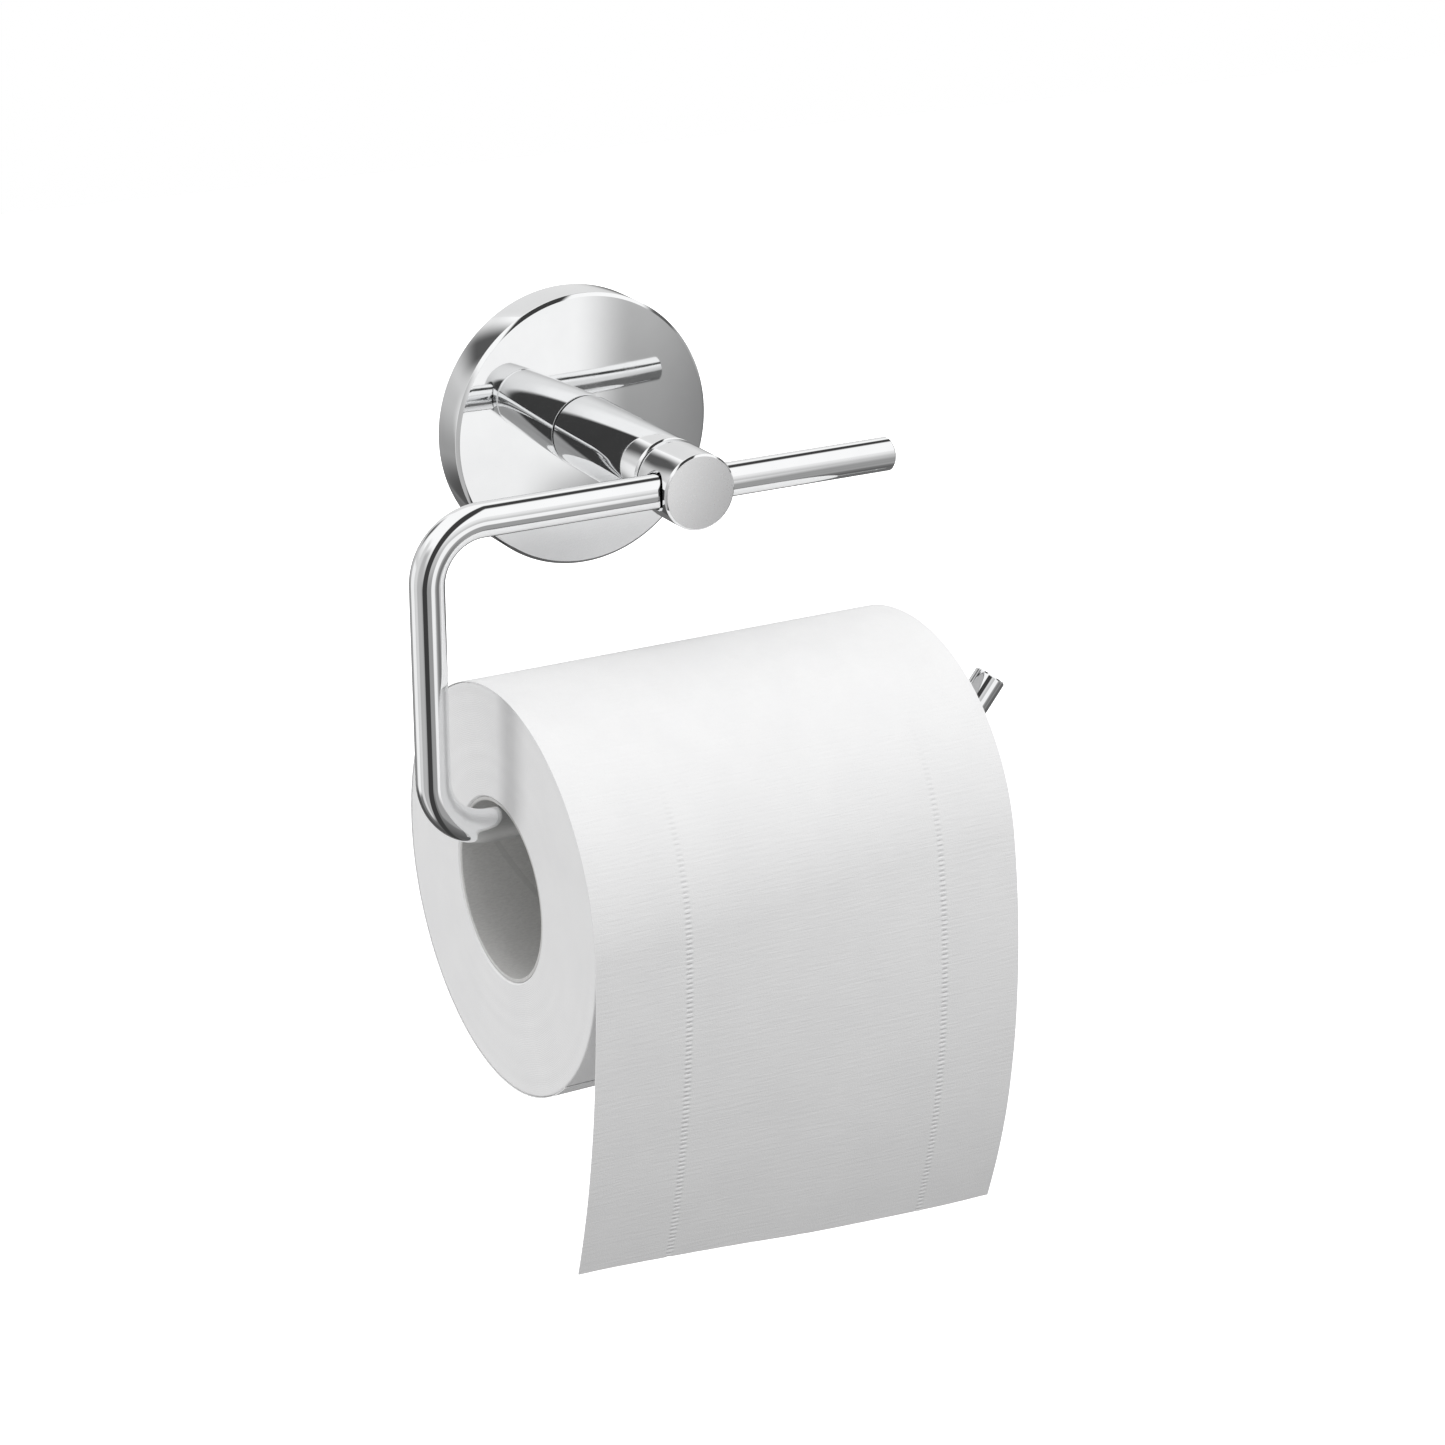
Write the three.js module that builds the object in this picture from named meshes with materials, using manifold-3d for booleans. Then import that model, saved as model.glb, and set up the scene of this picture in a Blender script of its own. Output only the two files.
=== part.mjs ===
// Wall-mounted toilet paper holder: a round rose, a post, a head and one bent rod that carries a roll.
// Millimetres. X runs to the right along the wall, Y into the wall and Z up.
// The origin is the centre of the rose on the wall's surface, so everything in the room has y < 0.

import * as THREE from "three";
import { mergeVertices } from "three/addons/utils/BufferGeometryUtils.js";
import Module from "manifold-3d";

const wasm = await Module();
wasm.setup();

// ---- Driving dimensions ----

const GAP = 0.3; // play between two pieces that touch

// rose: the dish that covers the wall bracket
const ROSE_D = 67;
const ROSE_DEPTH = 12.2;
const ROSE_WALL = 2;
const ROSE_DOME = 1.4; // the middle of the face stands this far in front of its edge
const ROSE_BEVEL = 0.8;

// wall bracket: a pan with its floor on the wall
const BRACKET_PLAY = 3.5; // from the bracket's rim to the inside of the rose
const BRACKET_HEIGHT = 8;
const BRACKET_FLOOR = 2;
const BRACKET_RIM = 2.5;

// wall screws and plugs
const SCREW_PITCH = 30;
const SCREW_D = 4;
const SCREW_HEAD_D = 8;
const SCREW_HEAD_H = 2.6;
const SCREW_HEAD_RIM = 1.04; // height of the head's round edge, below its slope
const SCREW_HEAD_FLAT_D = 4.8;
const SCREW_SLOT_DEPTH = 1.56;
const SCREW_REACH = 27.5; // from the wall's surface to the screw's point
const SCREW_SLOT_TRAVEL = 3; // up and down, to level the bracket
const PLUG_D = 6;
const PLUG_SUNK = 2.5; // the plug's mouth lies this far below the wall's surface
const PLUG_LENGTH = 24;
const PLUG_SLIT = 0.8;
const PLUG_TAPER = 0.3; // how much thinner the plug's wall is at its inner end

// post and head
const POST_D = 18;
const ARM_OUT = 63; // from the wall to the rod's axis
const HEAD_TAIL = 8.7; // from the rod's axis back to the seam with the post
const HEAD_NOSE = 6; // from the rod's axis to the head's front face
const EDGE_CHAMFER = 0.5;

// fastening of the post
const BOLT_D = 6;
const BOLT_HEAD_D = 10;
const BOLT_HEAD_H = 2.6;
const BOLT_BITE = 12; // how far the bolt goes into the post
const BOLT_KEY = 4; // across the flats of its hex socket
const BOLT_KEY_DEPTH = 1.56;
const DISC_D = 24;
const DISC_T = 1.5;
const WASHER_D = 10.4;
const WASHER_T = 1.2;
const WASHER_SPLIT = 1;
const DOWEL_D = 2.4;
const DOWEL_BITE = 6;

// stud between the post and the head
const STUD_D = 6;
const STUD_BITE = 11;

// grub screws
const GRUB_D = 4;
const GRUB_BOSS_WALL = 1.3; // round the hole inside the rose
const GRUB_KEY = 2; // across the flats of the hex socket
const GRUB_KEY_DEPTH = 1.8;

// bent rod
const ROD_D = 8;
const ROD_RIGHT = 53.5; // from the post's axis to the rod's upper end
const ROD_LEFT = 65.5; // from the post's axis to the axis of the downward stretch
const ROD_DROP = 73; // from the upper to the lower stretch
const ROD_BEND = 13.5; // bend radius on the rod's axis
const TIP_RISE_DEG = 52;
const TIP_LENGTH = 15.1;
const TIP_BEND = 9;
const TIP_MARGIN = 15.2; // from the roll's right face to the tip's corner

// paper
const ROLL_WIDTH = 110;
const ROLL_D = 97.2;
const ROLL_MARGIN = 2; // from the end of the lower bend to the roll's left face
const CORE_BORE = 42;
const CORE_WALL = 0.9;
const CORE_SHY = 0.4; // the core stops this far inside each face of the roll
const SHEET_T = 0.5;
const SHEET_DROP = 86; // from the roll's axis down to the torn edge
const SHEET_STRAIGHT = 25;
const SHEET_CURL = 175; // radius of the tail's curl back towards the wall

// ---- Values worked out from them ----

const roseR = ROSE_D / 2;
const roseInnerR = roseR - ROSE_WALL;
const roseInnerY = -(ROSE_DEPTH - ROSE_DOME - ROSE_WALL);
const bracketR = roseInnerR - BRACKET_PLAY;
const postR = POST_D / 2;
const boltHoleR = BOLT_D / 2 + GAP;
const dowelHoleR = DOWEL_D / 2 + GAP;
const dowelOffset = (boltHoleR + postR) / 2; // halfway between the bolt and the post's side
const rodR = ROD_D / 2;
const rodY = -ARM_OUT;
const seamY = -(ARM_OUT - HEAD_TAIL);
const grubHoleR = GRUB_D / 2 + GAP;
const roseGrubY = -(BRACKET_HEIGHT + BRACKET_FLOOR) / 2;

const discY = roseInnerY + GAP;
const washerY = discY + DISC_T + GAP;
const boltHeadY = washerY + WASHER_T + GAP;

const coreR = CORE_BORE / 2;
const coreOuterR = coreR + CORE_WALL;
const rollR = ROLL_D / 2;
const rollLeft = -ROD_LEFT + ROD_BEND + ROLL_MARGIN;
const rollZ = -ROD_DROP + rodR + GAP - coreR;
const tipCornerX = rollLeft + ROLL_WIDTH + TIP_MARGIN;

// Facets of round shapes.
const DOME_STEPS = 5;
const COARSE = 24;
const FINE = 32;

// ---- Materials ----

function metal(color, roughness) {
  return new THREE.MeshStandardMaterial({ color, roughness, metalness: 1 });
}

function matte(color, roughness) {
  return new THREE.MeshStandardMaterial({ color, roughness, metalness: 0 });
}

const chrome = metal(0xd9dbde, 0.08);
const zinc = metal(0xa9abad, 0.45);
const steel = metal(0xb9bbbd, 0.3);
const blackSteel = metal(0x2e2e30, 0.5);
const nylon = matte(0xc9c9c4, 0.6);
const cardboard = matte(0xb8aa94, 0.9);
const tissue = matte(0xf2f2f0, 0.95);

// ---- Shape helpers ----

// A closed geometry as a solid that can be joined and cut.
function solid(geometry) {
  const bare = geometry.index ? geometry.toNonIndexed() : geometry.clone();
  bare.deleteAttribute("normal");
  bare.deleteAttribute("uv");
  const merged = mergeVertices(bare, 1e-4);
  const mesh = new wasm.Mesh({
    numProp: 3,
    vertProperties: merged.attributes.position.array,
    triVerts: new Uint32Array(merged.index.array),
  });
  return new wasm.Manifold(mesh);
}

function geometryOf(body) {
  const mesh = body.getMesh();
  const indexed = new THREE.BufferGeometry();
  indexed.setAttribute("position", new THREE.BufferAttribute(mesh.vertProperties, 3));
  indexed.setIndex(new THREE.BufferAttribute(mesh.triVerts, 1));
  const flat = indexed.toNonIndexed();
  flat.computeVertexNormals();
  return flat;
}

// A turned body about the Y axis. The profile is a list of [radius, y], walked with its material on the left.
function turned(profile, segments = 48) {
  const points = profile.map(([radius, y]) => new THREE.Vector2(radius, y));
  return new THREE.LatheGeometry(points, segments);
}

// A turned body whose profile doesn't touch the axis, so it is closed back to its first point.
function turnedRing(profile, segments = 48) {
  return turned([...profile, profile[0]], segments);
}

function along(axis, geometry) {
  if (axis === "x") return geometry.rotateZ(-Math.PI / 2);
  if (axis === "z") return geometry.rotateX(Math.PI / 2);
  return geometry;
}

// A plain round bar along an axis, from one place on that axis to another.
function bar(axis, radius, from, to, sides = FINE) {
  const geometry = new THREE.CylinderGeometry(radius, radius, to - from, sides);
  return along(axis, geometry.translate(0, (from + to) / 2, 0));
}

function hexBar(axis, acrossFlats, from, to) {
  return bar(axis, acrossFlats / Math.sqrt(3), from, to, 6);
}

function mesh(name, geometry, material) {
  const made = new THREE.Mesh(geometry, material);
  made.name = name;
  return made;
}

// ---- Rose and wall bracket ----

function roseCover() {
  const edgeR = roseR - ROSE_BEVEL;
  const edgeY = -ROSE_DEPTH + ROSE_DOME;
  const dome = [];
  for (let i = 0; i <= DOME_STEPS; i += 1) {
    const radius = boltHoleR + ((edgeR - boltHoleR) * i) / DOME_STEPS;
    dome.push([radius, -ROSE_DEPTH + ROSE_DOME * (radius / edgeR) ** 2]);
  }
  const dish = turnedRing(
    [
      [boltHoleR, roseInnerY],
      ...dome,
      [roseR, edgeY + ROSE_BEVEL],
      [roseR, -GAP],
      [roseInnerR, -GAP],
      [roseInnerR, roseInnerY],
    ],
    72,
  );
  const bossR = grubHoleR + GRUB_BOSS_WALL;
  const boss = bar("z", bossR, -(roseR - ROSE_WALL / 2), -(bracketR + BRACKET_PLAY / 4));
  boss.translate(0, roseGrubY, 0);
  const grubHole = bar("z", grubHoleR, -(roseR + 1), -bracketR).translate(0, roseGrubY, 0);
  const dowelHole = bar("y", dowelHoleR, -ROSE_DEPTH - 1, roseInnerY + 1, COARSE);
  dowelHole.translate(0, 0, dowelOffset);
  return geometryOf(
    solid(dish).add(solid(boss)).subtract(solid(grubHole)).subtract(solid(dowelHole)),
  );
}

function wallBracket() {
  const pan = turned(
    [
      [0, -BRACKET_FLOOR],
      [bracketR - BRACKET_RIM, -BRACKET_FLOOR],
      [bracketR - BRACKET_RIM, -BRACKET_HEIGHT],
      [bracketR, -BRACKET_HEIGHT],
      [bracketR, 0],
      [0, 0],
    ],
    64,
  );
  let body = solid(pan);
  const slotR = SCREW_D / 2 + 2 * GAP;
  for (const side of [-1, 1]) {
    for (const end of [-1, 1]) {
      const x = (side * SCREW_PITCH) / 2;
      const z = (end * SCREW_SLOT_TRAVEL) / 2;
      const round = bar("y", slotR, -BRACKET_FLOOR - 1, 1, COARSE).translate(x, 0, z);
      body = body.subtract(solid(round));
    }
    const middle = new THREE.BoxGeometry(2 * slotR, BRACKET_FLOOR + 2, SCREW_SLOT_TRAVEL);
    middle.translate((side * SCREW_PITCH) / 2, -BRACKET_FLOOR / 2, 0);
    body = body.subtract(solid(middle));
  }
  return geometryOf(body);
}

// ---- Wall fixings ----

function wallScrew() {
  const seat = -(BRACKET_FLOOR + GAP);
  const top = seat - SCREW_HEAD_H;
  const headR = SCREW_HEAD_D / 2;
  const shankR = SCREW_D / 2;
  const blank = turned(
    [
      [0, top],
      [SCREW_HEAD_FLAT_D / 2, top],
      [headR, seat - SCREW_HEAD_RIM],
      [headR, seat],
      [shankR, seat],
      [shankR, SCREW_REACH - 1.5 * SCREW_D],
      [0, SCREW_REACH],
    ],
    FINE,
  );
  const slotLong = SCREW_HEAD_D / 2;
  const slotWide = SCREW_HEAD_D / 8;
  const slotBox = 2 * SCREW_SLOT_DEPTH; // half of it lies above the head
  const across = new THREE.BoxGeometry(slotLong, slotBox, slotWide).translate(0, top, 0);
  const upright = new THREE.BoxGeometry(slotWide, slotBox, slotLong).translate(0, top, 0);
  return geometryOf(solid(blank).subtract(solid(across)).subtract(solid(upright)));
}

function wallPlug() {
  const plugR = PLUG_D / 2;
  const boreR = SCREW_D / 2 + GAP;
  const end = PLUG_SUNK + PLUG_LENGTH;
  const sleeve = turnedRing(
    [
      [boreR, end],
      [boreR, PLUG_SUNK],
      [plugR, PLUG_SUNK],
      [plugR, end - plugR],
      [plugR - PLUG_TAPER, end],
    ],
    FINE,
  );
  const slitFrom = PLUG_SUNK + PLUG_LENGTH / 4;
  const slit = new THREE.BoxGeometry(PLUG_SLIT, end - slitFrom + 1, PLUG_D + 2);
  slit.translate(0, (slitFrom + end + 1) / 2, 0);
  return geometryOf(solid(sleeve).subtract(solid(slit)));
}

// ---- Post and its fastening ----

function post() {
  const rear = -(ROSE_DEPTH + GAP);
  const front = seamY + GAP / 2;
  const studHoleR = STUD_D / 2 + GAP;
  const turnedPost = turned(
    [
      [0, front + STUD_BITE + 1],
      [studHoleR, front + STUD_BITE + 1],
      [studHoleR, front],
      [postR - EDGE_CHAMFER, front],
      [postR, front + EDGE_CHAMFER],
      [postR, rear],
      [boltHoleR, rear],
      [boltHoleR, rear - BOLT_BITE - 1],
      [0, rear - BOLT_BITE - 1],
    ],
    48,
  );
  const dowelHole = bar("y", dowelHoleR, rear - DOWEL_BITE - GAP, rear + 1, COARSE);
  dowelHole.translate(0, 0, dowelOffset);
  return geometryOf(solid(turnedPost).subtract(solid(dowelHole)));
}

function backingDisc() {
  const ring = turnedRing([
    [boltHoleR, discY + DISC_T],
    [boltHoleR, discY],
    [DISC_D / 2, discY],
    [DISC_D / 2, discY + DISC_T],
  ]);
  const dowelHole = bar("y", dowelHoleR, discY - 1, discY + DISC_T + 1, COARSE);
  dowelHole.translate(0, 0, dowelOffset);
  return geometryOf(solid(ring).subtract(solid(dowelHole)));
}

function lockWasher() {
  const ring = turnedRing(
    [
      [boltHoleR, washerY + WASHER_T],
      [boltHoleR, washerY],
      [WASHER_D / 2, washerY],
      [WASHER_D / 2, washerY + WASHER_T],
    ],
    FINE,
  );
  const split = new THREE.BoxGeometry(WASHER_D, WASHER_T + 2, WASHER_SPLIT);
  split.translate(WASHER_D / 2, washerY + WASHER_T / 2, 0);
  return geometryOf(solid(ring).subtract(solid(split)));
}

function postBolt() {
  const point = -(ROSE_DEPTH + GAP) - BOLT_BITE;
  const back = boltHeadY + BOLT_HEAD_H;
  const headR = BOLT_HEAD_D / 2;
  const blank = turned([
    [0, point],
    [BOLT_D / 2 - EDGE_CHAMFER, point],
    [BOLT_D / 2, point + EDGE_CHAMFER],
    [BOLT_D / 2, boltHeadY],
    [headR, boltHeadY],
    [headR, back - EDGE_CHAMFER],
    [headR - EDGE_CHAMFER, back],
    [0, back],
  ]);
  const socket = hexBar("y", BOLT_KEY, back - BOLT_KEY_DEPTH, back + 1);
  return geometryOf(solid(blank).subtract(solid(socket)));
}

function postDowel() {
  const front = -(ROSE_DEPTH + GAP) - DOWEL_BITE;
  const back = discY + DISC_T - GAP;
  return bar("y", DOWEL_D / 2, front, back, COARSE).translate(0, 0, dowelOffset);
}

// ---- Head ----

function head() {
  const rear = seamY - GAP / 2;
  const front = rodY - HEAD_NOSE;
  const block = turned([
    [0, front],
    [postR - EDGE_CHAMFER, front],
    [postR, front + EDGE_CHAMFER],
    [postR, rear - EDGE_CHAMFER],
    [postR - EDGE_CHAMFER, rear],
    [0, rear],
  ]);
  const crossBore = bar("x", rodR + GAP, -POST_D, POST_D, 48).translate(0, rodY, 0);
  const studHole = bar("y", STUD_D / 2 + GAP, rodY, rear + 1);
  const grubHole = bar("z", grubHoleR, -postR - 1, 0).translate(0, rodY, 0);
  return geometryOf(
    solid(block).subtract(solid(crossBore)).subtract(solid(studHole)).subtract(solid(grubHole)),
  );
}

function headStud() {
  const back = seamY + STUD_BITE;
  const front = rodY + rodR + 2 * GAP;
  const studR = STUD_D / 2;
  return turned([
    [0, front],
    [studR - EDGE_CHAMFER, front],
    [studR, front + EDGE_CHAMFER],
    [studR, back - EDGE_CHAMFER],
    [studR - EDGE_CHAMFER, back],
    [0, back],
  ]);
}

// A socket set screw along Z, its key socket at the lower end and its point at the upper one.
function grubScrew(bottom, point) {
  const r = GRUB_D / 2;
  const blank = along(
    "z",
    turned(
      [
        [0, bottom],
        [r, bottom],
        [r, point - EDGE_CHAMFER],
        [r - EDGE_CHAMFER, point],
        [0, point],
      ],
      FINE,
    ),
  );
  const socket = hexBar("z", GRUB_KEY, bottom - 1, bottom + GRUB_KEY_DEPTH);
  return geometryOf(solid(blank).subtract(solid(socket)));
}

// ---- Bent rod ----

// A path through a list of stations, one for each step of the extrusion.
class StationPath extends THREE.Curve {
  constructor(stations) {
    super();
    this.stations = stations;
  }

  getPointAt(u) {
    return this.getPoint(u);
  }

  getPoint(t, target = new THREE.Vector3()) {
    const last = this.stations.length - 1;
    const place = Math.min(Math.max(t, 0), 1) * last;
    const index = Math.min(Math.floor(place + 1e-9), last - 1);
    return target.lerpVectors(this.stations[index], this.stations[index + 1], place - index);
  }

  getTangentAt(u, target = new THREE.Vector3()) {
    const last = this.stations.length - 1;
    const index = Math.round(u * last);
    const before = this.stations[Math.max(index - 1, 0)];
    const after = this.stations[Math.min(index + 1, last)];
    const here = this.stations[index];
    const inward = here.clone().sub(before).normalize();
    const outward = after.clone().sub(here).normalize();
    return target.addVectors(inward, outward).normalize();
  }
}

// Stations round a bend in the rod's plane: centre, radius, first and last angle in degrees.
function bend(centreX, centreZ, radius, fromDeg, toDeg) {
  const steps = Math.ceil(Math.abs(toDeg - fromDeg) / 10);
  const stations = [];
  for (let i = 0; i <= steps; i += 1) {
    const angle = THREE.MathUtils.degToRad(fromDeg + ((toDeg - fromDeg) * i) / steps);
    const x = centreX + radius * Math.cos(angle);
    const z = centreZ + radius * Math.sin(angle);
    stations.push(new THREE.Vector3(x, rodY, z));
  }
  return stations;
}

function armRod() {
  const tipAngle = THREE.MathUtils.degToRad(TIP_RISE_DEG);
  const tangent = TIP_BEND * Math.tan(tipAngle / 2);
  const left = -ROD_LEFT + ROD_BEND;
  const tipEnd = new THREE.Vector3(
    tipCornerX + TIP_LENGTH * Math.cos(tipAngle),
    rodY,
    -ROD_DROP + TIP_LENGTH * Math.sin(tipAngle),
  );
  const path = new StationPath([
    new THREE.Vector3(ROD_RIGHT, rodY, 0),
    ...bend(left, -ROD_BEND, ROD_BEND, 90, 180),
    ...bend(left, -ROD_DROP + ROD_BEND, ROD_BEND, 180, 270),
    ...bend(tipCornerX - tangent, -ROD_DROP + TIP_BEND, TIP_BEND, -90, TIP_RISE_DEG - 90),
    tipEnd,
  ]);
  const section = new THREE.Shape();
  section.absarc(0, 0, rodR, 0, 2 * Math.PI, false);
  const bent = new THREE.ExtrudeGeometry(section, {
    steps: path.stations.length - 1,
    curveSegments: 12,
    extrudePath: path,
  });
  return geometryOf(solid(bent));
}

// ---- Roll ----

function roundRoll(innerR, outerR, left, right, segments) {
  const ring = turnedRing(
    [
      [innerR, right],
      [innerR, left],
      [outerR, left],
      [outerR, right],
    ],
    segments,
  );
  return along("x", ring).translate(0, rodY, rollZ);
}

function rollCore() {
  const left = rollLeft + CORE_SHY;
  const right = rollLeft + ROLL_WIDTH - CORE_SHY;
  return roundRoll(coreR, coreOuterR, left, right, 64);
}

function paperRoll() {
  return roundRoll(coreOuterR + GAP, rollR, rollLeft, rollLeft + ROLL_WIDTH, 96);
}

// The loose end: over the top of the roll, down its front and on down in a slight curl to the wall.
function hangingSheet() {
  const innerR = rollR + GAP;
  const outerR = innerR + SHEET_T;
  const frontY = rodY - outerR;
  const curlZ = rollZ - SHEET_STRAIGHT;
  const curlY = frontY + SHEET_CURL;
  const sweep = Math.asin((SHEET_DROP - SHEET_STRAIGHT) / SHEET_CURL);
  const curlInner = SHEET_CURL - SHEET_T;
  const outline = new THREE.Shape();
  outline.absarc(rodY, rollZ, outerR, Math.PI / 2, Math.PI, false);
  outline.absarc(curlY, curlZ, SHEET_CURL, Math.PI, Math.PI + sweep, false);
  outline.absarc(curlY, curlZ, curlInner, Math.PI + sweep, Math.PI, true);
  outline.absarc(rodY, rollZ, innerR, Math.PI, Math.PI / 2, true);
  const strip = new THREE.ExtrudeGeometry(outline, {
    depth: ROLL_WIDTH,
    steps: 1,
    bevelEnabled: false,
    curveSegments: 10,
  });
  const toYZX = new THREE.Matrix4().makeBasis(
    new THREE.Vector3(0, 1, 0),
    new THREE.Vector3(0, 0, 1),
    new THREE.Vector3(1, 0, 0),
  );
  return geometryOf(solid(strip.applyMatrix4(toYZX).translate(rollLeft, 0, 0)));
}

// ---- Assembly ----

const holder = new THREE.Group();
holder.add(mesh("rose_cover", roseCover(), chrome));
holder.add(mesh("wall_bracket", wallBracket(), zinc));

for (const [side, word] of [
  [-1, "left"],
  [1, "right"],
]) {
  const fixing = new THREE.Group();
  fixing.position.x = (side * SCREW_PITCH) / 2;
  fixing.add(mesh(`wall_screw_${word}`, wallScrew(), steel));
  fixing.add(mesh(`wall_plug_${word}`, wallPlug(), nylon));
  holder.add(fixing);
}

holder.add(mesh("post", post(), chrome));
holder.add(mesh("backing_disc", backingDisc(), zinc));
holder.add(mesh("lock_washer", lockWasher(), steel));
holder.add(mesh("post_bolt", postBolt(), blackSteel));
holder.add(mesh("post_dowel", postDowel(), steel));
holder.add(mesh("head", head(), chrome));
holder.add(mesh("head_stud", headStud(), steel));

const roseGrub = mesh("rose_grub_screw", grubScrew(-roseR + GAP, -bracketR - GAP), blackSteel);
roseGrub.position.y = roseGrubY;
holder.add(roseGrub);

const armGrub = mesh("arm_grub_screw", grubScrew(-postR + GAP, -rodR - GAP), blackSteel);
armGrub.position.y = rodY;
holder.add(armGrub);

holder.add(mesh("arm_rod", armRod(), chrome));

const roll = new THREE.Group();
roll.add(mesh("roll_core", rollCore(), cardboard));
roll.add(mesh("paper_roll", paperRoll(), tissue));
roll.add(mesh("hanging_sheet", hangingSheet(), tissue));
holder.add(roll);

export default holder;
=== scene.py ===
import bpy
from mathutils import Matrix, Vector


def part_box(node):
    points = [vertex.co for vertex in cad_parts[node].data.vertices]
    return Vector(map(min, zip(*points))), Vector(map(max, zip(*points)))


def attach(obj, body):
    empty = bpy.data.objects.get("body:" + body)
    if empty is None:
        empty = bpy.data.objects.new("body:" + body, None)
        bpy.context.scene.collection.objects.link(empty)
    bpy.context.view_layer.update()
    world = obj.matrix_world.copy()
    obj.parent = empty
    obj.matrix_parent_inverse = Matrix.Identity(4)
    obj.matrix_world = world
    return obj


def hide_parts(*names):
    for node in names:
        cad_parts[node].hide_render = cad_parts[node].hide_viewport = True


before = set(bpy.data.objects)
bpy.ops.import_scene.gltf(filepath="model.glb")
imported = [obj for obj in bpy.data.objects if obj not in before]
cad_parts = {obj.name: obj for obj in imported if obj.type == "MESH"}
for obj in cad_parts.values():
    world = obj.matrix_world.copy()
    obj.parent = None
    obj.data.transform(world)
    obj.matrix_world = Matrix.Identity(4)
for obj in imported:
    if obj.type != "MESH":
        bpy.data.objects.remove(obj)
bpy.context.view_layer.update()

# The finished look of a wall-mounted toilet paper holder: polished pieces, small fixings, roll and loose end.
# Shapes are worked out in millimetres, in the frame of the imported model, and turned into metres by piece().

import math

import bpy
import numpy as np
from mathutils import Vector

MM = 0.001
SMOOTH_UP_TO = math.radians(28)  # edges sharper than this stay crisp
SMALL_SMOOTH_UP_TO = math.radians(20)  # between a 24-sided facet's 15 and a two-step bevel's 22.5 degrees


# ---- Places and sizes taken from the frame, in millimetres ----

def corners(node):
    """Lowest and highest corner of a CAD node in millimetres."""
    low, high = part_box(node)
    return np.array(low) / MM, np.array(high) / MM


rose_low, rose_high = corners("rose_cover")
post_low, post_high = corners("post")
head_low, head_high = corners("head")
rod_low, rod_high = corners("arm_rod")
core_low, core_high = corners("roll_core")
roll_low, roll_high = corners("paper_roll")
grub_low, grub_high = corners("rose_grub_screw")

ROSE_R = rose_high[0]
ROSE_FACE = rose_low[1]
ROSE_RIM = rose_high[1]
ROSE_WALL = 2.0
ROSE_BEVEL = 0.8
ROSE_DOME = 1.4  # the face's middle stands this far in front of its edge
POST_R = post_high[0]
EDGE = 0.5
BOLT_HOLE_R = 3.3
BOLT_HOLE_DEPTH = 13.0
STUD_HOLE_R = 3.3
STUD_HOLE_DEPTH = 12.0
GRUB_HOLE_R = 2.3
GRUB_BOSS_R = 3.6

ROD_R = rod_high[2]
ROD_Y = (rod_low[1] + rod_high[1]) / 2
ROD_RIGHT = 53.5
ROD_LEFT = -(rod_low[0] + ROD_R)
ROD_DROP = -(rod_low[2] + ROD_R)
ROD_BEND = 13.5
ROD_CHAMFER = 0.4
TIP_BEND = 9.0
TIP_RISE = math.radians(52)
TIP_LENGTH = 15.1
TIP_CORNER = roll_high[0] + 15.2
BORE_R = ROD_R + 0.3
RECESS_R = ROD_R + 0.7  # the wider mouth of the head's bore on each side
RECESS_FLOOR = 6.4

CORE_R = (core_high[2] - core_low[2]) / 2
CORE_WALL = 0.9
ROLL_R = (roll_high[2] - roll_low[2]) / 2
ROLL_Z = (roll_high[2] + roll_low[2]) / 2
ROLL_LEFT, ROLL_RIGHT = roll_low[0], roll_high[0]
ROLL_WIDTH = ROLL_RIGHT - ROLL_LEFT


# ---- Meshes ----

def grid_faces(rows, columns, wrap_rows=False, wrap_columns=False):
    """Quads between neighbouring points of a rows by columns grid, closed round where asked."""
    down = np.arange(rows if wrap_rows else rows - 1)
    along = np.arange(columns if wrap_columns else columns - 1)
    i, j = np.meshgrid(down, along, indexing="ij")
    below, beside = (i + 1) % rows, (j + 1) % columns
    quads = [i * columns + j, i * columns + beside, below * columns + beside, below * columns + j]
    return np.stack(quads, axis=-1).reshape(-1, 4)


def piece(name, points, faces):
    """An object from points in millimetres and faces, turned so that its faces point outwards."""
    mesh = bpy.data.meshes.new(name)
    mesh.from_pydata((np.asarray(points) * MM).tolist(), [], [list(map(int, face)) for face in faces])
    mesh.update()
    made = bpy.data.objects.new(name, mesh)
    bpy.context.scene.collection.objects.link(made)
    if volume(mesh) < 0:
        mesh.flip_normals()
    finish_edges(mesh)
    return made


def volume(mesh):
    """Six times the signed volume: the sum over triangles of a . (b x c)."""
    mesh.calc_loop_triangles()
    points = np.empty(len(mesh.vertices) * 3)
    mesh.vertices.foreach_get("co", points)
    triangles = np.empty(len(mesh.loop_triangles) * 3, dtype=np.int32)
    mesh.loop_triangles.foreach_get("vertices", triangles)
    a, b, c = points.reshape(-1, 3)[triangles.reshape(-1, 3)].transpose(1, 0, 2)
    return float(np.einsum("ij,ij->", a, np.cross(b, c)))


def finish_edges(mesh, up_to=SMOOTH_UP_TO):
    """Smooth shading across edges up to an angle, crisp edges above it."""
    mesh.shade_smooth()
    mesh.set_sharp_from_angle(angle=up_to)


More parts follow.
